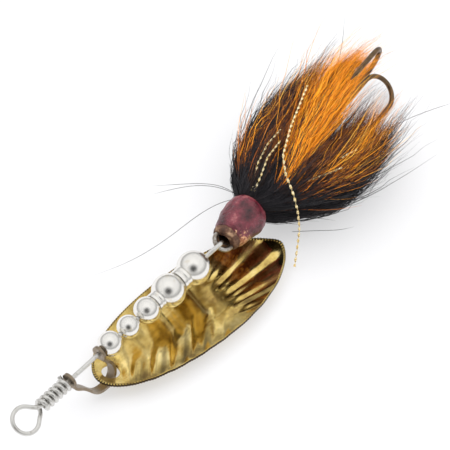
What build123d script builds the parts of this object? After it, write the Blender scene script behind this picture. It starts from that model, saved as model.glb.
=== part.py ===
from build123d import *
import math
import os

os.makedirs("parts", exist_ok=True)

# Inline spinner. Millimetres, +X along the shaft towards the hook, +Z up, origin at the line eye's centre.

# shaft wire
wire_d = 0.95
wire_roll = 28.0
eye_r = 2.80
eye_open = 47.0
coil_r = 1.20
coil_pitch = 1.24
coil_turns = 6
coil_start = 4.35
coil_stub = 2.05
shaft_end = 51.6
tail_gap = 0.53
loop_r = 1.35
loop_x = 57.90

# beads and collars: centre along the shaft, diameter
bead_spots = [(24.9, 5.3), (30.5, 5.0), (36.1, 5.7), (42.75, 7.3), (50.5, 7.4)]
bead_bore = 1.10
tail_bore = 2.24
tail_bore_depth = 3.3
collar_d = [4.4, 5.0]
collar_len = [1.75, 1.85]
cup_gap = 0.05

# clevis: a flat strap bent to a U, hanging below the shaft
clevis_roll = 16.0
clevis_front = 12.85
clevis_rear = 21.70
clevis_t = 0.62
clevis_w = 2.10
clevis_eye_d = 3.3
clevis_bore = 1.12
bow_x = 20.6
bow_drop = 5.3
bow_r = 2.9

# blade: a shallow stamped bowl, hollow side up
blade_len = 53.0
blade_wide = 28.6
blade_half_w = 10.2
blade_bowl = 2.65
blade_t = 0.60
blade_hole = 3.8
blade_hole_in = 3.7
blade_yaw = -4.7
blade_pitch = -1.9
blade_front = (19.32, -1.34, -5.50)
flutes = [(-25.0, 22.5), (-15.0, 27.8), (-5.0, 33.8), (5.0, 33.8), (15.0, 27.8), (25.0, 22.5)]
flute_fan = 19.0
flute_from = 17.0
flute_r = 2.2
flute_depth = 0.24

# treble hook, dressed head and hair
hook_eye_x = 59.90
hook_yaw = 8.3
hook_pitch = -3.6
hook_roll = -10.4
hook_wire = 1.10
hook_ring_r = 1.95
shank_offset = 0.66
shank_len = 57.6
bend_r = 4.0
leg_len = 7.5
barb_len = 2.2


def turned(direction, angle, axis):
    return Vector(*direction).rotate(Axis((0, 0, 0), axis), angle)


wire_plane = Plane(origin=(0, 0, 0), x_dir=(1, 0, 0), z_dir=turned((0, 0, 1), wire_roll, (1, 0, 0)))

# shaft wire: coil, line eye, straight shaft and the closed loop that holds the hook, all one wire
open_c = math.cos(math.radians(eye_open))
open_s = math.sin(math.radians(eye_open))
coil_rise = coil_pitch / (2 * math.pi)
coil_plane = Plane(
    origin=wire_plane.from_local_coords((coil_start, 0, 0)),
    x_dir=-wire_plane.z_dir,
    z_dir=wire_plane.x_dir,
)
with BuildPart() as coil:
    with BuildLine():
        turns = Helix(coil_pitch, coil_pitch * coil_turns, coil_r)
        Line(turns @ 1, turns @ 1 + coil_stub * (turns % 1))
    with BuildSketch(Plane(origin=turns @ 0, z_dir=turns % 0)):
        Circle(wire_d / 2)
    sweep(is_frenet=True)

with BuildPart() as shaft_wire:
    with BuildLine(wire_plane) as wire_path:
        Spline(
            (coil_start, 0, -coil_r),
            (eye_r * open_c, -eye_r * open_s, 0),
            tangents=[(-coil_rise, -coil_r, 0), (-open_s, -open_c, 0)],
        )
        ThreePointArc(
            (eye_r * open_c, -eye_r * open_s, 0),
            (-eye_r, 0, 0),
            (eye_r * open_c, eye_r * open_s, 0),
        )
        Spline(
            (eye_r * open_c, eye_r * open_s, 0),
            (5.4, 0, 0),
            tangents=[(open_s, -open_c, 0), (1, 0, 0)],
        )
        Line((5.4, 0, 0), (shaft_end, 0, 0))
        Spline(
            (shaft_end, 0, 0),
            (54.2, 0, -tail_gap),
            (loop_x, 0, -loop_r),
            tangents=[(1, 0, 0), (1, 0, 0)],
        )
        ThreePointArc((loop_x, 0, -loop_r), (loop_x + loop_r, 0, 0), (loop_x, 0, loop_r))
        Spline(
            (loop_x, 0, loop_r),
            (54.2, 0, tail_gap),
            (52.2, 0, tail_gap),
            tangents=[(-1, 0, 0), (-1, 0, 0)],
        )
    with BuildSketch(Plane(origin=wire_path.line @ 0, z_dir=wire_path.line % 0)):
        Circle(wire_d / 2)
    sweep()
    add(coil.part.moved(coil_plane.location))
shaft_wire.part.label = "shaft_wire"
export_step(shaft_wire.part, "parts/shaft_wire.step")


# beads: drilled balls, the last one opened out at the back for the wire's tucked tail
def make_bead(number):
    centre, size = bead_spots[number - 1]
    with BuildPart() as bead:
        with Locations((centre, 0, 0)):
            Sphere(size / 2)
        with Locations(Plane(origin=(centre, 0, 0), z_dir=(1, 0, 0))):
            Cylinder(bead_bore / 2, size + 1, mode=Mode.SUBTRACT)
        if number == len(bead_spots):
            with Locations(Plane(origin=(centre + size / 2, 0, 0), z_dir=(1, 0, 0))):
                Cylinder(tail_bore / 2, 2 * tail_bore_depth, mode=Mode.SUBTRACT)
    bead.part.label = f"bead_{number}"
    export_step(bead.part, f"parts/bead_{number}.step")
    return bead.part


for number in range(1, len(bead_spots) + 1):
    make_bead(number)


# collars: short turned sleeves whose dished ends seat the beads on either side
def make_collar(number):
    front, front_d = bead_spots[number + 1]
    rear, rear_d = bead_spots[number + 2]
    size = collar_d[number - 1]
    middle = (front + front_d / 2 + rear - rear_d / 2) / 2
    with BuildPart() as collar:
        with BuildSketch(Plane.XZ):
            with Locations((middle, size / 4 + bead_bore / 4)):
                Rectangle(collar_len[number - 1], size / 2 - bead_bore / 2)
            with Locations((front, 0)):
                Circle(front_d / 2 + cup_gap, mode=Mode.SUBTRACT)
            with Locations((rear, 0)):
                Circle(rear_d / 2 + cup_gap, mode=Mode.SUBTRACT)
            with Locations((middle, size / 2 + 0.12)):
                Circle(0.26, mode=Mode.SUBTRACT)
        revolve(axis=Axis.X)
    collar.part.label = f"collar_{number}"
    export_step(collar.part, f"parts/collar_{number}.step")
    return collar.part


for number in (1, 2):
    make_collar(number)

# clevis: a strap swept along a U, whose round bow is the blade's pivot, with a flat eye at each end on the shaft
clevis_plane = Plane(
    origin=(0, 0, 0),
    x_dir=(1, 0, 0),
    z_dir=turned((0, -1, 0), -clevis_roll, (1, 0, 0)),
)
clevis_mid = (clevis_front + clevis_rear) / 2

with BuildPart() as clevis:
    with BuildLine(clevis_plane) as strap:
        Line((clevis_front, 0), (clevis_front, -1.2))
        Spline(
            (clevis_front, -1.2),
            (14.6, -3.6),
            (16.8, -6.5),
            (bow_x, -bow_drop - bow_r),
            tangents=[(0, -1), (1, 0)],
        )
        ThreePointArc(
            (bow_x, -bow_drop - bow_r),
            (bow_x + bow_r * math.sin(math.pi / 4), -bow_drop - bow_r * math.cos(math.pi / 4)),
            (bow_x + bow_r, -bow_drop),
        )
        Spline(
            (bow_x + bow_r, -bow_drop),
            (22.75, -2.9),
            (clevis_rear, -1.2),
            tangents=[(0, 1), (0, 1)],
        )
        Line((clevis_rear, -1.2), (clevis_rear, 0))
    with BuildSketch(Plane(origin=strap.line @ 0, x_dir=(1, 0, 0), z_dir=strap.line % 0)):
        Rectangle(clevis_t, clevis_w)
    sweep()
    for arm_x in (clevis_front, clevis_rear):
        with Locations(Plane(origin=(arm_x, 0, 0), z_dir=(1, 0, 0))):
            Cylinder(clevis_eye_d / 2, clevis_t)
    with Locations(Plane(origin=(clevis_mid, 0, 0), z_dir=(1, 0, 0))):
        Cylinder(clevis_bore / 2, clevis_rear - clevis_front + 4, mode=Mode.SUBTRACT)
clevis.part.label = "clevis"
export_step(clevis.part, "parts/clevis.step")

# blade: the outline's prism meets a shell turned from an arc, then flutes are pressed into its rear half
blade_x = turned(turned((1, 0, 0), -blade_pitch, (0, 1, 0)), blade_yaw, (0, 0, 1))
blade_y = turned((0, 1, 0), blade_yaw, (0, 0, 1))
blade_plane = Plane(origin=blade_front, x_dir=blade_x, z_dir=blade_x.cross(blade_y))
length_r = (blade_len / 2) ** 2 / (2 * blade_bowl)
width_r = blade_half_w**2 / (2 * blade_bowl)
outline_points = []
for step in range(48):
    turn = 2 * math.pi * step / 48
    share = math.cos(turn)
    if share < 0:
        along = blade_wide * (1 + share)
        half = blade_half_w * (1 - abs(share) ** 2.25) ** 0.5
    else:
        along = blade_wide + (blade_len - blade_wide) * share
        half = blade_half_w * abs(1 - share**2) ** 0.6
    outline_points.append((along, math.copysign(half, math.sin(turn))))



def over_bowl(angle, far, lift):
    """A point of the fan of flutes, lifted off the blade's hollow face."""
    x = flute_fan + far * math.cos(math.radians(angle))
    y = far * math.sin(math.radians(angle))
    profile = length_r - blade_bowl - math.sqrt(length_r**2 - (x - blade_len / 2) ** 2)
    middle = width_r - blade_bowl
    z = middle - math.sqrt((middle - profile) ** 2 - y**2)
    return blade_plane.from_local_coords((x, y, z + lift))


def make_flute(angle, flute_end):
    """The tool that presses one flute: a bar bent to follow the bowl, deeper towards the rim."""
    with BuildPart() as flute:
        with BuildLine() as line:
            ThreePointArc(
                over_bowl(angle, flute_from, flute_r),
                over_bowl(angle, (flute_from + flute_end) / 2, flute_r - flute_depth * 0.8),
                over_bowl(angle, flute_end, flute_r - flute_depth),
            )
        with BuildSketch(Plane(origin=line.line @ 0, z_dir=line.line % 0)):
            Circle(flute_r)
        sweep()
    return flute.part


with BuildPart() as blade:
    with BuildSketch(blade_plane):
        with BuildLine():
            Spline(*outline_points, periodic=True)
        make_face()
    extrude(amount=8, both=True)
    with BuildSketch(Plane(blade_plane.origin, x_dir=blade_x, z_dir=-blade_y), mode=Mode.PRIVATE) as band:
        with Locations((blade_len / 2, length_r - blade_bowl)):
            Circle(length_r + blade_t)
            Circle(length_r, mode=Mode.SUBTRACT)
        with Locations((blade_len / 2, 2)):
            Rectangle(blade_len + 8, 12, mode=Mode.INTERSECT)
    turning = Axis(blade_plane.from_local_coords((0, 0, width_r - blade_bowl)), blade_x)
    revolve(band.sketch, axis=turning, revolution_arc=360, mode=Mode.INTERSECT)
    with Locations(blade_plane):
        with Locations((blade_hole_in, 0, 0)):
            Cylinder(blade_hole / 2, 6, mode=Mode.SUBTRACT)
    for angle, flute_end in flutes:
        add(make_flute(angle, flute_end), mode=Mode.SUBTRACT)
blade.part.label = "blade"
export_step(blade.part, "parts/blade.step")

# treble hook: a bent double hook with the eye, and a third hook brazed alongside it
hook_x = turned(turned((1, 0, 0), -hook_pitch, (0, 1, 0)), hook_yaw, (0, 0, 1))
hook_y = turned((0, 1, 0), hook_yaw, (0, 0, 1))
hook_up = hook_x.cross(hook_y)
hook_at = Vector(hook_eye_x, 0, 0)


def hook_plane(angle):
    """The plane of one hook: local x along the shank, local y out towards its point."""
    turn = math.radians(angle)
    out = hook_up * math.cos(turn) + hook_y * math.sin(turn)
    return Plane(origin=hook_at, x_dir=hook_x, z_dir=hook_x.cross(out))


def cross_plane(along):
    """A plane across the shank: local x towards the hook's left, local y up."""
    return Plane(origin=hook_at + hook_x * along, x_dir=hook_y, z_dir=hook_y.cross(hook_up))


def make_hook(angle, start):
    """One shank with its bend and barbed point."""
    flat = hook_plane(angle)
    far = shank_offset + 2 * bend_r
    tip = shank_len - leg_len
    with BuildPart() as hook:
        with BuildLine(flat) as shape:
            Line((start, shank_offset), (shank_len, shank_offset))
            ThreePointArc((shank_len, shank_offset), (shank_len + bend_r, shank_offset + bend_r), (shank_len, far))
            Line((shank_len, far), (tip, far))
        with BuildSketch(Plane(origin=shape.line @ 0, z_dir=shape.line % 0)):
            Circle(hook_wire / 2)
        sweep()
        point_from = flat.from_local_coords((tip - barb_len / 2, far, 0))
        with Locations(Plane(origin=point_from, x_dir=flat.y_dir, z_dir=-hook_x)):
            Cone(hook_wire / 2, 0.06, barb_len)
        with BuildSketch(flat):
            with BuildLine():
                Polyline((tip, far - 0.3), (tip + 1.9, far - 1.05), (tip + 1.4, far - 0.3), close=True)
            make_face()
        extrude(amount=0.14, both=True)
    return hook.part


ring_up = wire_plane.z_dir - hook_x * wire_plane.z_dir.dot(hook_x)

with BuildPart() as hook_double:
    with Locations(Plane(origin=hook_at, x_dir=hook_x, z_dir=ring_up)):
        Torus(hook_ring_r, hook_wire / 2)
    add(make_hook(hook_roll, hook_ring_r - 0.25))
    add(make_hook(hook_roll - 120, hook_ring_r - 0.25))
hook_double.part.label = "hook_double"
export_step(hook_double.part, "parts/hook_double.step")

with BuildPart() as hook_single:
    add(make_hook(hook_roll + 120, 3.6))
hook_single.part.label = "hook_single"
export_step(hook_single.part, "parts/hook_single.step")


# head: bare thread turns in front, then the lacquered winding that holds the hair on
def make_head(name, profile):
    with BuildPart() as head:
        with BuildSketch(hook_plane(90)):
            with BuildLine():
                Polyline((profile[0][0], 0), profile[0])
                Spline(*profile)
                Polyline(profile[-1], (profile[-1][0], 0), (profile[0][0], 0))
            make_face()
        revolve(axis=Axis(hook_at, hook_x))
        add(hook_double.part, mode=Mode.SUBTRACT)
        add(hook_single.part, mode=Mode.SUBTRACT)
    head.part.label = name
    export_step(head.part, f"parts/{name}.step")
    return head.part


make_head("thread_wrap", [(0.35, 2.75), (0.8, 2.95), (1.6, 3.15)])
make_head("head_lacquer", [(1.65, 3.2), (3.2, 3.75), (5.5, 4.3), (8.0, 4.6), (10.0, 4.35), (11.4, 3.3)])


# hair: one closed clump per bundle, tapering to the tips; each section is along, left, up, half width, half height
def make_clump(name, sections):
    with BuildPart() as clump:
        for along, left, up, half_w, half_h in sections:
            with BuildSketch(cross_plane(along)):
                with Locations((left, up)):
                    Ellipse(half_w, half_h)
        loft()
    clump.part.label = name
    export_step(clump.part, f"parts/{name}.step")
    return clump.part


make_clump(
    "hair_black_left",
    [
        (11.6, 2.7, 0.3, 1.15, 1.5),
        (17.0, 5.7, -0.3, 2.2, 3.1),
        (28.0, 8.3, -1.9, 3.1, 5.4),
        (40.0, 9.3, -1.0, 2.9, 4.7),
        (54.0, 10.6, 1.4, 0.7, 0.8),
    ],
)
make_clump(
    "hair_orange",
    [
        (11.6, 0.5, 2.9, 1.5, 1.0),
        (17.0, 1.5, 4.0, 2.1, 1.9),
        (28.0, 1.6, 4.5, 3.1, 2.7),
        (40.0, 2.2, 4.6, 3.4, 2.6),
        (56.0, 3.4, 4.2, 1.0, 0.9),
    ],
)
make_clump(
    "hair_brown",
    [
        (11.6, -2.2, 2.0, 0.95, 1.0),
        (17.0, -3.3, 3.2, 2.2, 1.9),
        (28.0, -5.6, 3.3, 3.6, 2.8),
        (40.0, -6.1, 3.3, 4.2, 2.7),
        (55.0, -6.0, 3.0, 0.9, 0.8),
    ],
)
make_clump(
    "hair_black_right",
    [
        (11.6, -2.9, -0.9, 0.9, 1.2),
        (17.0, -7.6, -1.2, 3.0, 2.6),
        (28.0, -12.8, -2.2, 3.4, 4.6),
        (40.0, -14.2, -1.8, 3.4, 4.0),
        (53.0, -13.8, 0.0, 0.8, 0.8),
    ],
)
make_clump(
    "hair_black_under",
    [
        (11.6, 0.2, -2.8, 1.9, 0.95),
        (17.0, -0.4, -3.9, 3.2, 1.9),
        (28.0, -2.0, -4.6, 6.2, 2.8),
        (38.0, -1.6, -4.4, 5.8, 2.6),
        (51.0, -0.2, -3.6, 1.2, 0.8),
    ],
)

# tinsel: one long twisted strand over the hair, its front end hanging down on the right, and a shorter one
def make_strand(name, points, thickness):
    with BuildPart() as strand:
        with BuildLine() as route:
            Spline(*[hook_at + hook_x * a + hook_y * b + hook_up * c for a, b, c in points])
        with BuildSketch(Plane(origin=route.line @ 0, z_dir=route.line % 0)):
            Circle(thickness / 2)
        sweep()
    strand.part.label = name
    export_step(strand.part, f"parts/{name}.step")
    return strand.part


make_strand(
    "tinsel_long",
    [
        (42.0, 5.6, 7.9),
        (29.2, 1.9, 8.0),
        (21.4, -0.9, 8.1),
        (17.6, -4.1, 7.3),
        (15.8, -7.1, 5.2),
        (13.7, -9.6, 2.6),
        (12.6, -11.0, -1.5),
        (12.0, -11.6, -4.4),
    ],
    0.5,
)
make_strand(
    "tinsel_short",
    [(12.4, -0.7, 3.9), (17.0, -0.9, 6.8), (27.0, -2.1, 7.6), (38.0, -1.8, 7.9), (47.0, -0.9, 7.0)],
    0.4,
)
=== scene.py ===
import math

import bpy
import numpy as np
from mathutils import Matrix, Vector, noise


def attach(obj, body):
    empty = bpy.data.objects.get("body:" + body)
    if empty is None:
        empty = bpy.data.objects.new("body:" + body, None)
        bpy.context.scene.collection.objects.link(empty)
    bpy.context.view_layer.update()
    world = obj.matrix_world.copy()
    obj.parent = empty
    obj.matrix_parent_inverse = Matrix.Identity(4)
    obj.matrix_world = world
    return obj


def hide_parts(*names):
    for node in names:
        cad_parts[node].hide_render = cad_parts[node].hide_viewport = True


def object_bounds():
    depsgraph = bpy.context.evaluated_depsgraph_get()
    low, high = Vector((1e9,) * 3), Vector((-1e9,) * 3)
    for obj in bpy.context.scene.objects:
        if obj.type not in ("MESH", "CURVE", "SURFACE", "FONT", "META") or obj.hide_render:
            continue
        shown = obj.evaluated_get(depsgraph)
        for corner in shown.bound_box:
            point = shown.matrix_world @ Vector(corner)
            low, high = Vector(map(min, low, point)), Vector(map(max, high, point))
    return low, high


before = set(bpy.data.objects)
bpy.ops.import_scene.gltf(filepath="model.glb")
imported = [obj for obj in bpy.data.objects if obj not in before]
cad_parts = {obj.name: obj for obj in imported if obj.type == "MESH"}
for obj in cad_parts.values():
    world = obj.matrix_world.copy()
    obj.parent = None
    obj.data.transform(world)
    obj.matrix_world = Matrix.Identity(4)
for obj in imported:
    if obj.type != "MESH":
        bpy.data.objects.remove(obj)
cad_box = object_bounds()
MM = 0.001


def mm(*v):
    return np.array(v, float) * MM


def grey(value):
    return (value, value, value)


def turn_matrix(axis, degrees):
    return np.array(Matrix.Rotation(math.radians(degrees), 3, axis))


# ---------------------------------------------------------------- camera, view transform, floor height and mesh helpers
AZIMUTH = -48.895
ELEVATION = 52.0
DISTANCE = 0.600
MM_PER_PX = 0.21
PICTURE_PX = 450.0
SENSOR = 36.0
FOCAL_PX = DISTANCE / (MM_PER_PX * MM)
TARGET = mm(63.33, 2.53, 0.0)

a, e = math.radians(AZIMUTH), math.radians(ELEVATION)
cam_right = np.array((math.cos(a), math.sin(a), 0.0))
cam_up = np.array((-math.sin(a) * math.sin(e), math.cos(a) * math.sin(e), math.cos(e)))
cam_back = np.array((math.sin(a) * math.cos(e), -math.cos(a) * math.cos(e), math.sin(e)))
away = np.array((-math.sin(a), math.cos(a), 0.0))

camera_data = bpy.data.cameras.new("camera")
camera_data.sensor_width = SENSOR
camera_data.lens = FOCAL_PX * SENSOR / PICTURE_PX
camera_data.clip_start = 0.01
camera = bpy.data.objects.new("camera", camera_data)
bpy.context.scene.collection.objects.link(camera)
spot = TARGET + cam_back * DISTANCE
camera.matrix_world = Matrix(
    [[cam_right[i], cam_up[i], cam_back[i], spot[i]] for i in range(3)] + [[0, 0, 0, 1]]
)
bpy.context.scene.camera = camera
bpy.context.scene.view_settings.view_transform = "Standard"

FLOOR_Z = cad_box[0][2]


def new_mesh(name, verts, faces, smooth=True):
    mesh = bpy.data.meshes.new(name)
    mesh.from_pydata([tuple(v) for v in verts], [], faces)
    mesh.update()
    if smooth:
        mesh.polygons.foreach_set("use_smooth", [True] * len(mesh.polygons))
    obj = bpy.data.objects.new(name, mesh)
    bpy.context.scene.collection.objects.link(obj)
    return obj


def card(name, centre, right, up, width, height, material):
    r, u = np.array(right) * width / 2, np.array(up) * height / 2
    c = np.array(centre)
    obj = new_mesh(name, [c - r - u, c + r - u, c + r + u, c - r + u], [(0, 1, 2, 3)], False)
    obj.data.materials.append(material)
    return obj


# ---------------------------------------------------------------- material helpers
def new_material(name):
    m = bpy.data.materials.new(name)
    m.use_nodes = True
    nodes, links = m.node_tree.nodes, m.node_tree.links
    shader = nodes["Principled BSDF"]
    return m, nodes, links, shader


def add_noise(nodes, links, scale, detail=4.0, rough=0.55, stretch=None):
    where = nodes.new("ShaderNodeTexCoord")
    out = where.outputs["Object"]
    if stretch is not None:
        mapping = nodes.new("ShaderNodeMapping")
        mapping.inputs["Scale"].default_value = stretch
        links.new(out, mapping.inputs["Vector"])
        out = mapping.outputs["Vector"]
    tex = nodes.new("ShaderNodeTexNoise")
    tex.inputs["Scale"].default_value = scale
    tex.inputs["Detail"].default_value = detail
    tex.inputs["Roughness"].default_value = rough
    links.new(out, tex.inputs["Vector"])
    return tex.outputs["Fac"]


def add_ramp(nodes, links, value, stops):
    ramp = nodes.new("ShaderNodeValToRGB")
    while len(ramp.color_ramp.elements) < len(stops):
        ramp.color_ramp.elements.new(0.5)
    for element, (at, colour) in zip(ramp.color_ramp.elements, stops):
        element.position = at
        element.color = (*colour, 1.0)
    links.new(value, ramp.inputs["Fac"])
    return ramp.outputs["Color"]


def add_range(nodes, links, value, low, high, new_low, new_high):
    node = nodes.new("ShaderNodeMapRange")
    node.inputs["From Min"].default_value = low
    node.inputs["From Max"].default_value = high
    node.inputs["To Min"].default_value = new_low
    node.inputs["To Max"].default_value = new_high
    links.new(value, node.inputs["Value"])
    return node.outputs["Result"]


def add_bump(nodes, links, height, strength, distance, shader):
    bump = nodes.new("ShaderNodeBump")
    bump.inputs["Strength"].default_value = strength
    bump.inputs["Distance"].default_value = distance
    links.new(height, bump.inputs["Height"])
    links.new(bump.outputs["Normal"], shader.inputs["Normal"])


def metal(name, clean, wear_and_painted_shade, scale, rough_low, rough_high, bump=0.05, stretch=None, worn_from=0.5):
    """A metal whose tint and gloss vary in soft blotches, with fine scratches in its normal."""
    m, nodes, links, shader = new_material(name)
    blotch = add_noise(nodes, links, scale, 5.0, 0.6)
    tint = add_ramp(nodes, links, blotch, [(worn_from, clean), (worn_from + 0.22, wear_and_painted_shade)])
    links.new(tint, shader.inputs["Base Color"])
    shader.inputs["Metallic"].default_value = 1.0
    fine = add_noise(nodes, links, scale * 6, 6.0, 0.65, stretch)
    links.new(add_range(nodes, links, fine, 0.35, 0.7, rough_low, rough_high), shader.inputs["Roughness"])
    add_bump(nodes, links, fine, bump, 0.00005, shader)
    return m


def hook_material():
    """Bronzed steel, rubbed back to bare metal on the eye."""
    m, nodes, links, shader = new_material("hook_bronze")
    blotch = add_noise(nodes, links, 600, 5.0, 0.6)
    bronze_stops = [(0.40, (0.115, 0.080, 0.052)), (0.56, (0.20, 0.13, 0.075)), (0.74, (0.33, 0.21, 0.11))]
    bronzed = add_ramp(nodes, links, blotch, bronze_stops)
    place = nodes.new("ShaderNodeSeparateXYZ")
    links.new(nodes.new("ShaderNodeTexCoord").outputs["Object"], place.inputs["Vector"])
    rubbed = add_range(nodes, links, place.outputs["X"], 0.0620, 0.0585, 0.0, 1.0)
    mix = nodes.new("ShaderNodeMix")
    mix.data_type = "RGBA"
    links.new(rubbed, mix.inputs["Factor"])
    links.new(bronzed, mix.inputs[6])
    bare = add_ramp(nodes, links, blotch, [(0.45, (0.58, 0.56, 0.53)), (0.6, (0.26, 0.22, 0.18))])
    links.new(bare, mix.inputs[7])
    links.new(mix.outputs[2], shader.inputs["Base Color"])
    shader.inputs["Metallic"].default_value = 1.0
    links.new(add_range(nodes, links, blotch, 0.3, 0.7, 0.26, 0.44), shader.inputs["Roughness"])
    add_bump(nodes, links, blotch, 0.10, 0.00005, shader)
    return m


STEEL = metal("steel_wire", (0.70, 0.69, 0.66), (0.44, 0.41, 0.37), 900, 0.24, 0.42, 0.08, worn_from=0.54)
NICKEL = metal("bead_nickel", (0.84, 0.82, 0.78), (0.70, 0.61, 0.44), 420, 0.12, 0.26, 0.08, worn_from=0.58)
CLEVIS = metal(
    "clevis_nickel", (0.27, 0.215, 0.155), (0.40, 0.36, 0.31), 600, 0.26, 0.46, 0.10, worn_from=0.52
)
BRONZE = hook_material()


def assign(node, material):
    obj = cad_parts[node]
    obj.data.materials.clear()
    obj.data.materials.append(material)


for index in range(1, 6):
    assign(f"bead_{index}", NICKEL)
for index in (1, 2):
    assign(f"collar_{index}", NICKEL)
assign("shaft_wire", STEEL)
assign("clevis", CLEVIS)
assign("hook_double", BRONZE)
assign("hook_single", BRONZE)

# ---------------------------------------------------------------- floor, world and lamps
floor_material, *_, floor_shader = new_material("floor")
floor_shader.inputs["Base Color"].default_value = (0.36, 0.36, 0.37, 1)
floor_shader.inputs["Emission Color"].default_value = (1.0, 1.0, 1.0, 1)
floor_shader.inputs["Emission Strength"].default_value = 0.46
floor_shader.inputs["Roughness"].default_value = 0.75
floor_shader.inputs["Specular IOR Level"].default_value = 0.2
card("floor", (0.06, 0, FLOOR_Z - 0.0002), (1, 0, 0), (0, 1, 0), 8, 8, floor_material)

world = bpy.data.worlds.new("world")
bpy.context.scene.world = world
world.use_nodes = True
sky, sky_links = world.node_tree.nodes, world.node_tree.links
direction = sky.new("ShaderNodeTexCoord").outputs["Generated"]
height = sky.new("ShaderNodeSeparateXYZ")
sky_links.new(direction, height.inputs["Vector"])
level = add_ramp(
    sky,
    sky_links,
    add_range(sky, sky_links, height.outputs["Z"], -1.0, 1.0, 0.0, 1.0),
    [
        (0.48, grey(0.70)), (0.55, grey(0.42)), (0.62, grey(0.62)), (0.74, grey(1.0)),
        (1.0, grey(1.05)),
    ],
)
toward = sky.new("ShaderNodeVectorMath")
toward.operation = "DOT_PRODUCT"
sky_links.new(direction, toward.inputs[0])
toward.inputs[1].default_value = (-0.50, -0.42, 0.757)
opening = add_ramp(
    sky,
    sky_links,
    toward.outputs["Value"],
    [(0.80, grey(1.0)), (0.90, grey(0.70)), (0.96, grey(0.20)), (1.0, grey(0.08))],
)
strips = sky.new("ShaderNodeTexWave")
strips.inputs["Scale"].default_value = 2.6
strips.inputs["Distortion"].default_value = 1.5
strips.inputs["Detail"].default_value = 1.0
strips.inputs["Detail Scale"].default_value = 1.4
sky_links.new(direction, strips.inputs["Vector"])
panel = add_ramp(sky, sky_links, strips.outputs["Fac"], [(0.25, grey(0.72)), (0.75, grey(1.10))])
side_stops = [(0.05, grey(0.0)), (0.25, grey(1.0)), (0.80, grey(1.0)), (0.93, grey(0.0))]
banded_part = add_ramp(sky, sky_links, height.outputs["Z"], side_stops)
banded = sky.new("ShaderNodeMix")
banded.data_type = "RGBA"
banded.blend_type = "MULTIPLY"
sky_links.new(banded_part, banded.inputs["Factor"])
sky_links.new(level, banded.inputs[6])
sky_links.new(panel, banded.inputs[7])
level = banded.outputs[2]
both = sky.new("ShaderNodeMix")
both.data_type = "RGBA"
both.blend_type = "MULTIPLY"
both.inputs["Factor"].default_value = 1.0
sky_links.new(level, both.inputs[6])
sky_links.new(opening, both.inputs[7])
sky_links.new(both.outputs[2], sky["Background"].inputs["Color"])
sky["Background"].inputs["Strength"].default_value = 1.05


def lamp(name, direction, distance, size, watts, colour=(1, 1, 1)):
    """A round soft light that lights the object and the floor and isn't itself mirrored in the metal."""
    data = bpy.data.lights.new(name, "AREA")
    data.shape = "DISK"
    data.size = size
    data.energy = watts
    data.color = colour
    obj = bpy.data.objects.new(name, data)
    bpy.context.scene.collection.objects.link(obj)
    d = Vector(direction).normalized()
    obj.location = Vector(TARGET) + d * distance
    obj.rotation_mode = "QUATERNION"
    obj.rotation_quaternion = d.to_track_quat("Z", "Y")
    obj.visible_glossy = False
    return obj


lamp("key", -cam_right * 0.45 + away * 0.4 + np.array((0, 0, 1.0)), 0.9, 1.5, 9.0)
lamp("fill", cam_right * 0.9 - away * 0.5 + np.array((0, 0, 0.9)), 0.9, 1.6, 8.5)

# ---------------------------------------------------------------- blade
BLADE_LEN, BLADE_WIDE, BLADE_HALF, BLADE_BOWL, BLADE_T = 53.0, 28.6, 10.2, 2.65, 0.60
HOLE_IN, HOLE_R = 3.7, 1.9
LENGTH_R = (BLADE_LEN / 2) ** 2 / (2 * BLADE_BOWL)
WIDTH_R = BLADE_HALF**2 / (2 * BLADE_BOWL)
BLADE_AT = np.array((19.32, -1.34, -5.50))
BLADE_YAW, BLADE_PITCH = -4.7, 1.9
blade_x = turn_matrix("Z", BLADE_YAW) @ turn_matrix("Y", BLADE_PITCH) @ np.array((1.0, 0, 0))
blade_y = turn_matrix("Z", BLADE_YAW) @ np.array((0, 1.0, 0))
blade_z = np.cross(blade_x, blade_y)

FAN_AT, FAN_STEP, FAN_START, FAN_HALF, FLUTE_DEEP = 19.0, 10.0, 16.0, 38.0, 0.27
TEETH, TOOTH_DEEP = 190, 0.11


def blade_outline(count):
    """Points round the rim, evenly spaced along it, in the blade's own millimetres."""
    turn = np.linspace(0, 2 * np.pi, 8000, endpoint=False)
    share = np.cos(turn)
    front = BLADE_WIDE * (1 + share)
    rear = BLADE_WIDE + (BLADE_LEN - BLADE_WIDE) * share
    x = np.where(share < 0, front, rear)
    front_half = BLADE_HALF * np.sqrt(np.maximum(1 - np.abs(share) ** 2.25, 0))
    rear_half = BLADE_HALF * np.maximum(1 - share**2, 0) ** 0.6
    y = np.where(share < 0, front_half, rear_half) * np.sign(np.sin(turn))
    pts = np.stack([x, y], 1)
    step = np.linalg.norm(np.diff(np.vstack([pts, pts[:1]]), axis=0), axis=1)
    run = np.concatenate([[0], np.cumsum(step)])
    want = np.linspace(0, run[-1], count, endpoint=False)
    closed = np.vstack([pts, pts[:1]])
    return np.stack([np.interp(want, run, closed[:, k]) for k in (0, 1)], 1)


def blade_bands(x, y):
    """Slanting pressed waves in the near half of the bowl, -1.4 to 1.4."""
    across = x - 1.05 * y
    waves = np.sin(2 * np.pi * across / 6.5 + 0.6) + 0.4 * np.sin(2 * np.pi * across / 2.9)
    near_half = np.clip((0.5 - y) / 3.0, 0, 1)
    clear_of_ends = np.clip((x - 4.0) / 3.0, 0, 1) * np.clip((34.0 - x) / 5.0, 0, 1)
    return waves * near_half * clear_of_ends


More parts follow.
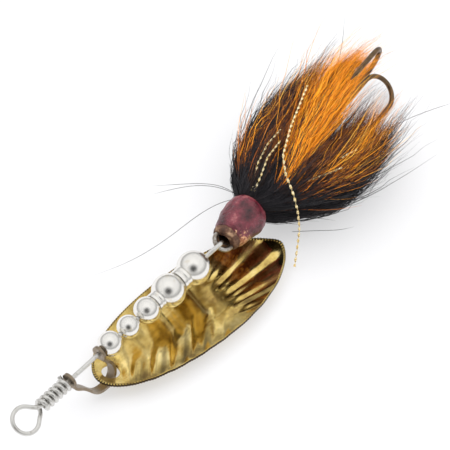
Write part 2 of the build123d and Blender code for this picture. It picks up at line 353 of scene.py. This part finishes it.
def blade_height(x, y, extra):
    """The bowl's height at a point: extra 0 is the hollow face and BLADE_T the back."""
    middle = WIDTH_R - BLADE_BOWL
    profile = (LENGTH_R - BLADE_BOWL) - np.sqrt((LENGTH_R + extra) ** 2 - (x - BLADE_LEN / 2) ** 2)
    z = middle - np.sqrt((middle - profile) ** 2 - y**2)
    far = np.hypot(x - FAN_AT, y)
    angle = np.degrees(np.arctan2(y, x - FAN_AT))
    grow = np.clip((far - FAN_START) / 3.2, 0, 1)
    grow = grow * grow * (3 - 2 * grow)
    side = np.clip((FAN_HALF - np.abs(angle)) / 5.0, 0, 1)
    wave = 0.5 + 0.5 * np.cos(2 * np.pi * angle / FAN_STEP)
    ripple = blade_bands(x, y) * (1 - grow * side)
    return z + FLUTE_DEEP * grow * side * (wave**0.8 - 0.4) + 0.085 * ripple


def make_blade():
    """The stamped blade: a bowl with a fan of flutes at the back, a hole at the front and a milled rim."""
    per_tooth = 4
    count = TEETH * per_tooth
    rim = blade_outline(count)
    hole_dir = rim - np.array((HOLE_IN, 0))
    reach = np.linalg.norm(hole_dir, axis=1)
    hole_dir /= reach[:, None]
    tooth = np.tile([1.0, 1.0, -1.0, -1.0], TEETH)
    rings = 44
    rise = np.linspace(0, 1, rings) ** 1.1
    places = [HOLE_R + (reach - 0.74 - HOLE_R) * k for k in rise]
    places += [reach - 0.66, reach - 0.56, reach - 0.08, reach]
    last = len(places) - 1
    verts, painted_shade = [], []
    for side, extra in ((1, 0.0), (-1, BLADE_T)):
        for k, far in enumerate(places):
            p = np.array((HOLE_IN, 0)) + hole_dir * far[:, None]
            z = blade_height(p[:, 0], p[:, 1], extra)
            # painted reflection: the brass is coloured darker in bands that follow the pressed waves,
            # standing in for their darker reflections
            wear_and_painted_shade = 0.60 * np.clip(blade_bands(p[:, 0] + 1.6, p[:, 1]) - 0.15, 0, 1)
            if k in (last - 2, last - 1):
                z = z + side * TOOTH_DEEP * tooth
                # painted shade: the notches between the milled teeth are coloured dark
                wear_and_painted_shade = np.where(tooth < 0, 1.0, 0.0)
            if k == last:
                z = z - side * 0.05
                p = p - hole_dir * (0.5 - 0.5 * tooth)[:, None] * TOOTH_DEEP
                # painted shade: the rim's outer edge is coloured dark all round
                wear_and_painted_shade = np.ones(count)
            if k == 0:
                z = z - side * 0.05
            verts.append(np.column_stack([p, z]))
            painted_shade.append(wear_and_painted_shade)
    rows = len(places)
    i = np.arange(count)
    j = (i + 1) % count
    faces = []
    for k in range(rows - 1):
        top, below = k * count, (k + 1) * count
        faces.append(np.column_stack([top + i, below + i, below + j, top + j]))
        top, below = (rows + k) * count, (rows + k + 1) * count
        faces.append(np.column_stack([top + i, top + j, below + j, below + i]))
    for k, flip in ((0, False), (rows - 1, True)):
        wall = [k * count + i, k * count + j, (rows + k) * count + j, (rows + k) * count + i]
        faces.append(np.column_stack(wall[::-1] if flip else wall))
    local = np.vstack(verts)
    placed = (BLADE_AT + local[:, :1] * blade_x + local[:, 1:2] * blade_y + local[:, 2:] * blade_z) * MM
    obj = new_mesh("blade_stamped", placed, np.vstack(faces).tolist())
    obj.data.attributes.new("painted_shade", "FLOAT", "POINT").data.foreach_set("value", np.concatenate(painted_shade))
    obj.data.materials.append(brass_material())
    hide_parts("blade")
    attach(obj, "blade")
    return obj


def brass_material():
    """Polished brass, drawn lengthwise, with painted shade: darker bands across the near half of the bowl
    and a dark milled rim.
    """
    m, nodes, links, shader = new_material("blade_brass")
    blotch = add_noise(nodes, links, 170, 5.0, 0.6)
    brass_stops = [(0.34, (0.96, 0.77, 0.34)), (0.50, (0.74, 0.54, 0.17)), (0.66, (0.36, 0.23, 0.07))]
    clean = add_ramp(nodes, links, blotch, brass_stops)
    wear_and_painted_shade = nodes.new("ShaderNodeAttribute")
    wear_and_painted_shade.attribute_name = "painted_shade"
    mix = nodes.new("ShaderNodeMix")
    mix.data_type = "RGBA"
    links.new(wear_and_painted_shade.outputs["Fac"], mix.inputs["Factor"])
    links.new(clean, mix.inputs[6])
    # the dark brown of the painted shade, laid over the brass in the bands and on the milled rim
    mix.inputs[7].default_value = (0.045, 0.026, 0.010, 1)
    links.new(mix.outputs[2], shader.inputs["Base Color"])
    shader.inputs["Metallic"].default_value = 1.0
    drawn = add_noise(nodes, links, 700, 4.0, 0.6, (0.06, 1.0, 0.3))
    links.new(add_range(nodes, links, drawn, 0.3, 0.7, 0.05, 0.15), shader.inputs["Roughness"])
    add_bump(nodes, links, drawn, 0.16, 0.0001, shader)
    return m


make_blade()

# ---------------------------------------------------------------- the hook's own axes
HOOK_AT = np.array((59.90, 0.0, 0.0))
HOOK_YAW, HOOK_PITCH = 8.3, 3.6
hook_x = turn_matrix("Z", HOOK_YAW) @ turn_matrix("Y", HOOK_PITCH) @ np.array((1.0, 0, 0))
hook_y = turn_matrix("Z", HOOK_YAW) @ np.array((0, 1.0, 0))
hook_up = np.cross(hook_x, hook_y)


def on_hook(p):
    """Points given as along, left, up in the hook's own millimetres, in the row frame in metres."""
    p = np.asarray(p, float)
    return (HOOK_AT + p[..., :1] * hook_x + p[..., 1:2] * hook_y + p[..., 2:3] * hook_up) * MM


# ---------------------------------------------------------------- head
def make_round(name, profile, around, along, bump, material, node, ridges=0.0, ridge_pitch=0.3):
    """A wound body of revolution about the shank, lumpy and with the thread's turns showing."""
    xs = np.array([p[0] for p in profile])
    rs = np.array([p[1] for p in profile])
    cut = np.linspace(0, 1, along)
    run = np.concatenate([[0], np.cumsum(np.hypot(np.diff(xs), np.diff(rs)))])
    x = np.interp(cut * run[-1], run, xs)
    r = np.interp(cut * run[-1], run, rs)
    for _ in range(6):
        r[1:-1] = (r[:-2] + 2 * r[1:-1] + r[2:]) / 4
    verts, faces, bare = [], [], []
    for k in range(along):
        for i in range(around):
            t = 2 * math.pi * i / around
            c, s = math.cos(t), math.sin(t)
            lump = noise.fractal(Vector((x[k] * 0.35, c * r[k] * 0.35, s * r[k] * 0.35)), 1.0, 2.1, 4)
            fine = noise.noise(Vector((x[k] * 1.3, c * r[k] * 1.3, s * r[k] * 1.3 + 7)))
            wound = math.sin(2 * math.pi * (x[k] / ridge_pitch + i / around))
            rad = r[k] * (1 + bump * lump) + 0.06 * fine + ridges * wound
            verts.append((x[k], rad * c, rad * s))
            # the winding is worn through low on the front
            bare.append(max(0.0, 1.15 - (x[k] - 1.7) / 3.6) * (0.45 - 0.55 * s - 0.35 * c))
    for k in range(along - 1):
        for i in range(around):
            j = (i + 1) % around
            faces.append((k * around + i, k * around + j, (k + 1) * around + j, (k + 1) * around + i))
    faces.append(tuple(range(around)))
    faces.append(tuple((along - 1) * around + i for i in reversed(range(around))))
    obj = new_mesh(name, on_hook(verts), [f[::-1] for f in faces])
    obj.data.attributes.new("bare", "FLOAT", "POINT").data.foreach_set("value", bare)
    obj.data.materials.append(material)
    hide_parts(node)
    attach(obj, "hook")
    return obj


def lacquer_material():
    m, nodes, links, shader = new_material("lacquer_red")
    blotch = add_noise(nodes, links, 260, 6.0, 0.62)
    # random blotches of dark red; the palest pinkish stop gives spots that stand in for the lacquer's
    # highlight, a painted highlight
    colour = add_ramp(
        nodes,
        links,
        blotch,
        [
            (0.32, (0.018, 0.003, 0.005)), (0.45, (0.065, 0.007, 0.013)),
            (0.58, (0.15, 0.018, 0.032)), (0.72, (0.40, 0.15, 0.14)),
        ],
    )
    bare = nodes.new("ShaderNodeAttribute")
    bare.attribute_name = "bare"
    speck = add_noise(nodes, links, 1700, 4.0, 0.7)
    thread_stops = [(0.36, (0.06, 0.016, 0.010)), (0.50, (0.36, 0.12, 0.045)), (0.66, (0.62, 0.36, 0.20))]
    thread = add_ramp(nodes, links, speck, thread_stops)
    edge = nodes.new("ShaderNodeMath")
    edge.operation = "ADD"
    links.new(bare.outputs["Fac"], edge.inputs[0])
    links.new(add_range(nodes, links, speck, 0.3, 0.7, -0.45, 0.45), edge.inputs[1])
    mix = nodes.new("ShaderNodeMix")
    mix.data_type = "RGBA"
    links.new(add_range(nodes, links, edge.outputs["Value"], 0.45, 0.62, 0.0, 1.0), mix.inputs["Factor"])
    links.new(colour, mix.inputs[6])
    links.new(thread, mix.inputs[7])
    links.new(mix.outputs[2], shader.inputs["Base Color"])
    gloss = add_noise(nodes, links, 1400, 3.0, 0.6)
    links.new(add_range(nodes, links, gloss, 0.3, 0.7, 0.26, 0.55), shader.inputs["Roughness"])
    shader.inputs["Coat Weight"].default_value = 0.35
    shader.inputs["Coat Roughness"].default_value = 0.2
    add_bump(nodes, links, gloss, 0.9, 0.0005, shader)
    return m


def thread_material():
    m, nodes, links, shader = new_material("thread_tan")
    blotch = add_noise(nodes, links, 700, 5.0, 0.6)
    colour = add_ramp(
        nodes,
        links,
        blotch,
        [(0.36, (0.025, 0.010, 0.008)), (0.54, (0.10, 0.042, 0.022)), (0.72, (0.36, 0.22, 0.13))],
    )
    links.new(colour, shader.inputs["Base Color"])
    shader.inputs["Roughness"].default_value = 0.6
    strands = add_noise(nodes, links, 2600, 2.0, 0.5, (3, 1, 1))
    add_bump(nodes, links, strands, 0.5, 0.0002, shader)
    return m


HEAD = [
    (1.70, 2.4), (1.72, 3.1), (2.4, 3.5), (3.6, 3.85), (5.5, 4.30), (8.0, 4.62), (9.6, 4.45),
    (10.8, 3.75), (11.4, 2.6), (11.45, 0.4),
]
THREAD = [(0.35, 1.4), (0.37, 2.6), (0.7, 2.95), (1.2, 3.1), (1.66, 3.12), (1.68, 1.4)]
make_round(
    "head_lacquered", HEAD, 150, 110, 0.055, lacquer_material(), "head_lacquer",
    0.015, 0.36,
)
make_round(
    "thread_turns", THREAD, 120, 40, 0.02, thread_material(), "thread_wrap", 0.04,
    0.24,
)


# ---------------------------------------------------------------- hair
def strand_mesh(name, paths, radius, material, sides=3):
    """One mesh of many tapered strands: paths is (strands, points, 3) and radius (strands,), in metres."""
    n, k, _ = paths.shape
    along = np.gradient(paths, axis=1)
    along /= np.linalg.norm(along, axis=2, keepdims=True) + 1e-12
    guide = np.array((0.31, 0.52, 0.79))
    first = np.cross(along, guide)
    first /= np.linalg.norm(first, axis=2, keepdims=True) + 1e-12
    second = np.cross(along, first)
    taper = np.interp(np.linspace(0, 1, k), [0, 0.15, 0.7, 1.0], [0.85, 1.0, 0.85, 0.12])
    radius = radius[:, None] * taper[None]
    turn = (2 * np.pi * np.arange(sides) / sides)[None, None, :, None]
    ring = first[:, :, None] * np.cos(turn) + second[:, :, None] * np.sin(turn)
    verts = (paths[:, :, None] + ring * radius[:, :, None, None]).reshape(-1, 3)
    start = (np.arange(n) * k * sides)[:, None, None]
    level = (np.arange(k - 1) * sides)[None, :, None]
    i = np.arange(sides)[None, None, :]
    j = (i + 1) % sides
    here, there = start + level + i, start + level + j
    quad = np.stack([here, there, there + sides, here + sides], -1).reshape(-1, 4)
    mesh = bpy.data.meshes.new(name)
    mesh.vertices.add(len(verts))
    mesh.vertices.foreach_set("co", verts.astype(np.float32).ravel())
    mesh.loops.add(quad.size)
    mesh.loops.foreach_set("vertex_index", quad.astype(np.int32).ravel())
    mesh.polygons.add(len(quad))
    mesh.polygons.foreach_set("loop_start", np.arange(0, quad.size, 4, dtype=np.int32))
    mesh.update(calc_edges=True)
    mesh.polygons.foreach_set("use_smooth", np.ones(len(quad), bool))
    obj = bpy.data.objects.new(name, mesh)
    bpy.context.scene.collection.objects.link(obj)
    obj.data.materials.append(material)
    return obj


def hair_material(name, stops, rough=0.40):
    """Dyed hair: each strand keeps its own tone, which drifts a little along it."""
    m, nodes, links, shader = new_material(name)
    tone = nodes.new("ShaderNodeAttribute")
    tone.attribute_name = "tone"
    drift = add_noise(nodes, links, 500, 3.0, 0.6)
    total = nodes.new("ShaderNodeMath")
    total.operation = "ADD"
    links.new(tone.outputs["Fac"], total.inputs[0])
    links.new(add_range(nodes, links, drift, 0.25, 0.75, -0.12, 0.12), total.inputs[1])
    links.new(add_ramp(nodes, links, total.outputs["Value"], stops), shader.inputs["Base Color"])
    gloss = add_range(nodes, links, drift, 0.3, 0.7, rough - 0.08, rough + 0.12)
    links.new(gloss, shader.inputs["Roughness"])
    shader.inputs["Specular IOR Level"].default_value = 0.4
    return m


HAIR_BLACK = hair_material(
    "hair_black",
    [
        (0.0, (0.006, 0.006, 0.008)), (0.6, (0.014, 0.013, 0.016)), (1.0, (0.045, 0.038, 0.042)),
    ],
)
HAIR_ORANGE = hair_material(
    "hair_orange",
    [
        (0.0, (0.03, 0.012, 0.006)), (0.14, (0.42, 0.095, 0.004)), (0.32, (0.88, 0.27, 0.006)),
        (0.70, (1.0, 0.41, 0.014)), (1.0, (1.0, 0.60, 0.10)),
    ],
)
HAIR_BROWN = hair_material(
    "hair_brown",
    [
        (0.0, (0.014, 0.009, 0.008)), (0.38, (0.06, 0.022, 0.012)), (0.62, (0.22, 0.065, 0.012)),
        (1.0, (0.62, 0.20, 0.015)),
    ],
)
POINTS = 11
HAIR_ROOT = 10.2
SIGHT_ALONG, SIGHT_LEFT, SIGHT_UP = 0.807, 0.449, 3


def lock(rng, count, sections, lengths, wild=1.0, tufts=22):
    """Strands of one lock, with each one's tone.

    A section is along, left, up, half width, half height, in the hook's millimetres. Its along and
    left are where it lines up, at a height of 3 mm, for someone who looks down from the camera.
    """
    sec = np.array(sections, float)
    sec[1:, 0] -= SIGHT_ALONG * (sec[1:, 2] - SIGHT_UP)
    sec[1:, 1] -= SIGHT_LEFT * (sec[1:, 2] - SIGHT_UP)
    root = HAIR_ROOT
    sec[0, 0] = root
    end = np.clip(rng.normal(lengths[0], lengths[1], count), lengths[2], lengths[3])
    share = np.linspace(0, 1, POINTS)[None, :]
    along = root + (end[:, None] - root) * share
    place = np.sqrt(rng.uniform(0, 1, tufts)), rng.uniform(0, 2 * np.pi, tufts)
    tuft_u, tuft_v = place[0] * np.cos(place[1]), place[0] * np.sin(place[1])
    tuft_bend = rng.normal(0, 1, (tufts, 2))
    mine = rng.integers(0, tufts, count)
    loose = rng.normal(0, 0.34, (count, 2))
    pull = 1.0 - 0.5 * share
    u = np.clip(tuft_u[mine][:, None] + loose[:, :1] * pull, -1.25, 1.25)
    v = np.clip(tuft_v[mine][:, None] + loose[:, 1:] * pull, -1.25, 1.25)
    y = np.interp(along, sec[:, 0], sec[:, 1]) + u * np.interp(along, sec[:, 0], sec[:, 3])
    z = np.interp(along, sec[:, 0], sec[:, 2]) + v * np.interp(along, sec[:, 0], sec[:, 4])
    stray = np.minimum(rng.gamma(1.3, 0.75, (count, 1)), 3.2) * wild * share**1.3
    lean = np.clip(rng.normal(0, 1, (count, 2)), -1.9, 1.9)
    y += stray * lean[:, :1] + tuft_bend[mine][:, :1] * share**2 * 0.55
    z += stray * lean[:, 1:] * 0.7 + tuft_bend[mine][:, 1:] * share**2 * 0.35
    phase = rng.uniform(0, 2 * np.pi, (count, 3))
    wave = 2 * np.pi * along / rng.uniform(6, 13, (count, 1))
    crimp = rng.uniform(0.10, 0.55, (count, 1)) * np.clip(share * 2.5, 0, 1)
    y += crimp * np.sin(wave + phase[:, :1])
    z += crimp * np.sin(wave * 0.9 + phase[:, 1:2])
    tilt = math.radians(HOOK_PITCH)
    low = (FLOOR_Z / MM + 0.15 + along * math.sin(tilt)) / math.cos(tilt)
    z = np.maximum(z, low + 0.4 * rng.uniform(0, 1, (count, 1)))
    y[:, 0], z[:, 0] = y[:, 0] * 0.8, z[:, 0] * 0.8
    return np.stack([along, y, z], -1), np.clip(rng.normal(0.5, 0.22, count), 0, 1)


def make_hair(name, node, seed, locks, material, thick=0.06, root_dark=0.0):
    rng = np.random.default_rng(seed)
    parts = [lock(rng, *one) for one in locks]
    paths = on_hook(np.concatenate([p for p, _ in parts]))
    tone = np.concatenate([t for _, t in parts])
    radius = rng.uniform(0.7, 1.3, len(paths)) * thick * MM
    obj = strand_mesh(name, paths, radius, material)
    rise = np.clip((np.linspace(0, 1, POINTS) - root_dark * 0.4) / max(root_dark, 0.01), 0, 1)
    shade = np.repeat((tone[:, None] * rise[None, :]).ravel(), 3)
    obj.data.attributes.new("tone", "FLOAT", "POINT").data.foreach_set("value", shade)
    if node:
        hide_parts(node)
    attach(obj, "hook")
    return obj


LEFT_OUTER = [
    (0, 2.2, 0.6, 0.9, 1.8), (14, 4.9, 1.0, 1.5, 2.6), (20, 7.2, 1.0, 1.6, 3.6),
    (30, 8.9, 1.0, 1.5, 4.0), (42, 9.5, 1.4, 1.6, 3.4), (54, 9.4, 2.0, 1.5, 2.6),
]
LEFT_INNER = [
    (0, 1.2, 2.0, 1.1, 0.7), (14, 3.0, 3.8, 2.2, 1.0), (20, 4.9, 4.8, 2.2, 1.0),
    (30, 6.2, 5.4, 1.4, 1.0), (40, 7.4, 5.4, 1.1, 0.9), (50, 8.8, 4.8, 1.0, 0.8),
    (60, 9.4, 4.4, 1.0, 0.8),
]
TOP_SKIRT = [
    (0, 0.0, 2.3, 2.0, 0.5), (13, -1.8, 3.8, 4.6, 0.8), (17, -2.4, 5.0, 6.6, 1.0),
    (24, -2.5, 6.2, 8.6, 1.0), (32, -2.5, 6.8, 9.0, 1.0),
]
RIGHT_OUTER = [
    (0, -2.4, -0.4, 0.9, 1.6), (13, -7.2, 0.0, 2.8, 2.4), (20, -12.2, -0.2, 3.0, 3.4),
    (30, -14.7, -0.4, 2.4, 3.6), (42, -15.2, 0.0, 2.2, 3.0), (50, -15.2, 0.6, 1.8, 2.2),
]
RIGHT_LINES = [
    (0, -1.6, 1.8, 1.1, 0.6), (14, -4.6, 3.8, 2.2, 0.9), (20, -6.8, 4.8, 3.0, 1.0),
    (28, -8.6, 5.2, 3.6, 1.1), (36, -9.4, 4.9, 3.8, 1.1), (46, -9.0, 4.2, 3.6, 1.0),
]
UNDER = [
    (0, 0.2, -2.2, 2.0, 0.8), (17, -1.0, -2.4, 5.6, 2.2), (28, -2.4, -2.6, 9.6, 3.4),
    (38, -2.6, -2.6, 11.4, 3.6), (52, -2.6, -1.6, 10.5, 2.6),
]
GAP_LINES = [
    (0, -1.6, 1.2, 1.0, 0.8), (20, -4.2, 2.4, 1.6, 1.2), (34, -4.6, 2.4, 2.4, 1.4),
    (46, -4.0, 2.0, 3.0, 1.4), (56, -4.6, 1.6, 3.4, 1.4),
]
CENTRE = [
    (0, -0.6, 2.3, 0.6, 0.4), (16, -3.3, 5.0, 0.5, 0.5), (20, -2.7, 6.0, 1.0, 0.7),
    (25, -1.4, 6.6, 1.2, 0.8), (30, 0.2, 6.9, 2.2, 1.1), (35, 1.0, 6.9, 2.7, 1.2),
    (40, 2.0, 6.7, 3.0, 1.3), (46, 2.6, 6.3, 2.9, 1.2), (52, 3.4, 5.6, 2.9, 1.1),
    (58, 3.4, 5.0, 3.0, 1.0), (68, 1.5, 4.2, 3.6, 1.0),
]
LEFT_STREAK = [
    (0, 2.0, 1.6, 0.6, 0.6), (18, 6.3, 4.6, 0.8, 0.8), (25, 8.1, 4.8, 1.0, 0.8),
    (30, 8.7, 4.8, 1.0, 0.8), (40, 9.2, 4.6, 0.9, 0.7), (50, 9.3, 4.2, 1.0, 0.7),
]
LEFT_MIXED = [
    (0, 1.4, 2.0, 0.8, 0.5), (16, 2.2, 5.2, 1.6, 0.6), (25, 4.4, 6.2, 1.6, 0.8),
    (35, 5.4, 6.4, 1.4, 0.8), (45, 6.8, 6.0, 1.4, 0.8), (56, 8.2, 5.0, 1.6, 0.8),
]
NEAR_MIXED = [
    (0, -1.2, 2.0, 0.8, 0.5), (16, -4.2, 5.0, 1.2, 0.6), (22, -4.6, 5.8, 1.6, 0.8),
    (30, -4.8, 5.8, 2.0, 0.9), (38, -4.6, 5.2, 2.2, 0.9),
]
RIGHT_MIXED = [
    (0, -1.6, 1.9, 0.9, 0.5), (16, -6.0, 4.8, 1.4, 0.6), (22, -7.6, 5.6, 2.0, 0.8),
    (30, -8.8, 5.8, 2.4, 0.9), (37, -9.0, 5.4, 2.4, 0.9), (45, -8.8, 4.8, 2.0, 0.8),
    (54, -8.2, 4.0, 2.0, 0.8),
]
RIGHT_STREAK = [
    (0, -2.0, 1.8, 0.6, 0.5), (15, -7.4, 4.4, 0.9, 0.5), (22, -9.8, 5.4, 1.1, 0.6),
    (30, -12.0, 5.4, 1.1, 0.7), (37, -12.4, 5.2, 1.3, 0.8), (45, -11.0, 4.6, 1.6, 0.8),
    (54, -10.2, 4.0, 1.8, 0.8),
]
RIGHT_PALE = [
    (0, -2.2, 1.4, 0.6, 0.5), (18, -10.0, 3.6, 0.8, 0.6), (28, -13.4, 4.2, 0.9, 0.7),
    (36, -14.4, 4.2, 1.1, 0.8), (44, -14.2, 3.8, 1.4, 0.8), (54, -13.4, 3.2, 1.6, 0.8),
]

make_hair(
    "hair_left",
    "hair_black_left",
    11,
    [
        (2100, LEFT_OUTER, (36, 7, 20, 54), 1.0),
        (1000, LEFT_INNER, (38, 9, 20, 62)),
        (120, LEFT_STREAK, (40, 7, 20, 60), 1.6),
    ],
    HAIR_BLACK,
)
make_hair(
    "hair_under",
    "hair_black_under",
    12,
    [
        (2900, UNDER, (27, 5, 17, 36), 1.2),
        (110, GAP_LINES, (46, 6, 30, 58), 1.6),
    ],
    HAIR_BLACK,
)
make_hair(
    "hair_right",
    "hair_black_right",
    13,
    [
        (2100, RIGHT_OUTER, (34, 7, 16, 52), 1.1),
        (800, RIGHT_LINES, (33, 7, 16, 48), 1.3),
        (330, RIGHT_PALE, (38, 8, 20, 58), 1.6),
    ],
    HAIR_BLACK,
)
make_hair(
    "hair_skirt",
    None,
    16,
    [
        (1700, TOP_SKIRT, (19.5, 4.5, 13, 34), 0.9, 40),
        (230, CENTRE, (44, 10, 24, 62), 1.7),
        (160, NEAR_MIXED, (28, 6, 18, 40), 1.4),
    ],
    HAIR_BLACK,
)
make_hair(
    "hair_middle",
    "hair_orange",
    14,
    [
        (2400, CENTRE, (50, 7, 28, 60), 1.25, 34),
        (260, CENTRE, (60, 5, 46, 68), 2.0),
    ],
    HAIR_ORANGE,
    root_dark=0.16,
)
make_hair(
    "hair_streaks",
    None,
    17,
    [
        (170, LEFT_STREAK, (38, 6, 26, 52), 1.4),
        (260, RIGHT_STREAK, (39, 7, 24, 52), 1.4),
        (120, RIGHT_PALE, (38, 7, 24, 50), 1.5),
        (150, LEFT_MIXED, (46, 8, 28, 60), 1.4),
        (70, LEFT_OUTER, (46, 7, 30, 56), 1.2),
        (120, RIGHT_MIXED, (40, 8, 24, 56), 1.6),
    ],
    HAIR_ORANGE,
    root_dark=0.45,
)
make_hair(
    "hair_mixed",
    "hair_brown",
    15,
    [
        (700, NEAR_MIXED, (30, 4, 20, 38)),
        (900, RIGHT_MIXED, (37, 7, 20, 56), 1.2),
        (800, LEFT_MIXED, (38, 8, 20, 58), 1.2),
        (420, LEFT_STREAK, (34, 7, 22, 50), 1.2),
        (450, RIGHT_STREAK, (36, 7, 20, 54), 1.4),
    ],
    HAIR_BROWN,
    root_dark=0.40,
)

# a few long hairs that have come loose, in the row's own millimetres
LOOSE = [
    [(70.0, 4.6, 2.0), (69.0, 8.5, 3.2), (66.8, 12.6, 2.6), (64.2, 17.5, 0.5), (62.6, 23.0, -3.0)],
    [(70.3, 4.8, 1.6), (68.4, 9.0, 3.0), (65.2, 13.0, 3.2), (60.8, 17.0, 2.0), (59.4, 19.2, 0.4)],
    [
        (69.8, 4.4, 1.4), (66.4, 6.8, 1.6), (60.8, 8.6, 0.4), (55.0, 9.8, -1.6),
        (49.0, 11.2, -2.4), (43.5, 13.0, -3.2), (37.0, 16.6, -3.8),
    ],
    [(73.0, 6.4, 1.0), (75.5, 10.5, 1.0), (79.5, 13.5, 0.0), (84.5, 15.5, -1.0)],
    [(72.5, 6.0, 0.5), (74.5, 10.0, 0.4), (77.0, 13.5, -0.8)],
    [(74.0, -7.0, -4.6), (78.0, -10.4, -5.2), (82.0, -13.4, -6.4), (85.5, -14.6, -7.6)],
    [(84.0, -12.0, -2.0), (92.0, -15.0, -1.8), (101.0, -16.6, -2.4), (110.0, -17.6, -3.2)],
    [(100.0, -6.0, 1.0), (110.0, -9.0, 2.0), (117.0, -11.8, 1.6), (121.0, -13.0, 0.6)],
    [(98.0, 6.0, 1.0), (108.0, 10.0, 2.0), (117.0, 15.0, 2.6), (125.0, 21.0, 1.6)],
]


def make_loose():
    paths = []
    for route in LOOSE:
        pts = np.array(route, float)
        run = np.linspace(0, len(pts) - 1, POINTS * 2)
        path = np.stack([np.interp(run, np.arange(len(pts)), pts[:, k]) for k in range(3)], 1)
        for _ in range(8):
            path[1:-1] = (path[:-2] + 2 * path[1:-1] + path[2:]) / 4
        paths.append(path)
    obj = strand_mesh("hair_loose", np.array(paths) * MM, np.full(len(paths), 0.065 * MM), HAIR_BLACK)
    tone = obj.data.attributes.new("tone", "FLOAT", "POINT")
    tone.data.foreach_set("value", np.full(len(obj.data.vertices), 0.5))
    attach(obj, "hook")


make_loose()


# ---------------------------------------------------------------- tinsel
def tinsel_material():
    m, nodes, links, shader = new_material("tinsel_gold")
    blotch = add_noise(nodes, links, 2500, 3.0, 0.6)
    tint = add_ramp(nodes, links, blotch, [(0.35, (0.86, 0.62, 0.22)), (0.65, (1.0, 0.92, 0.66))])
    links.new(tint, shader.inputs["Base Color"])
    shader.inputs["Metallic"].default_value = 0.75
    links.new(add_range(nodes, links, blotch, 0.3, 0.7, 0.15, 0.35), shader.inputs["Roughness"])
    return m


TINSEL = tinsel_material()


def ribbon_path(points, count):
    pts = np.array(points, float)
    run = np.concatenate([[0], np.cumsum(np.linalg.norm(np.diff(pts, axis=0), axis=1))])
    want = np.linspace(0, run[-1], count)
    rough = np.stack([np.interp(want, run, pts[:, k]) for k in range(3)], 1)
    for _ in range(int(count / len(pts))):
        rough[1:-1] = (rough[:-2] + 2 * rough[1:-1] + rough[2:]) / 4
    return rough, run[-1]


def make_ribbons(name, routes, width, pitch, node):
    """Flat gold film twisted along each route."""
    verts, faces = [], []
    for route in routes:
        count = 420
        path, run = ribbon_path(route, count)
        along = np.gradient(path, axis=0)
        along /= np.linalg.norm(along, axis=1)[:, None]
        side = np.cross(along, (0.1, 0.2, 0.97))
        side /= np.linalg.norm(side, axis=1)[:, None]
        over = np.cross(along, side)
        angle = np.linspace(0, run / pitch * 2 * np.pi, count)
        across = side * np.cos(angle)[:, None] + over * np.sin(angle)[:, None]
        skin = np.cross(along, across)
        base = sum(len(v) for v in verts)
        w, t = width / 2, 0.03
        corners = [(1, 1), (-1, 1), (-1, -1), (1, -1)]
        block = np.stack([path + across * (w * p) + skin * (t * q) for p, q in corners], 1)
        verts.append(block.reshape(-1, 3))
        for k in range(count - 1):
            for i in range(4):
                j = (i + 1) % 4
                low, high = base + k * 4, base + (k + 1) * 4
                faces.append((low + i, low + j, high + j, high + i))
    obj = new_mesh(name, on_hook(np.vstack(verts)), faces, False)
    obj.data.materials.append(TINSEL)
    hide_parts(node)
    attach(obj, "hook")
    return obj


LONG_ROUTE = [
    (40.4, 4.8, 9.4), (27.8, 1.2, 9.8), (19.8, -1.8, 9.8), (16.2, -4.8, 8.8), (14.4, -7.8, 6.8),
    (13.0, -10.0, 3.8), (12.2, -11.2, -0.5), (10.4, -12.0, -5.0), (8.7, -12.6, -8.4),
]
make_ribbons("tinsel_long_twist", [LONG_ROUTE], 0.52, 2.9, "tinsel_long")
SHORT_ROUTES = [
    [(12.0, 0.2, 4.4), (15.0, 0.4, 6.8), (19.0, 1.4, 8.0), (24.0, 1.4, 8.6)],
    [(12.0, 0.8, 4.2), (17.0, 2.6, 7.0), (22.0, 3.4, 8.0), (27.0, 3.2, 8.4)],
    [(19.0, -8.6, 6.8), (22.5, -11.0, 7.2), (26.0, -12.8, 7.2)],
    [(28.0, -11.4, 7.6), (32.0, -12.8, 7.5)],
]
make_ribbons("tinsel_short_twist", SHORT_ROUTES, 0.42, 2.5, "tinsel_short")
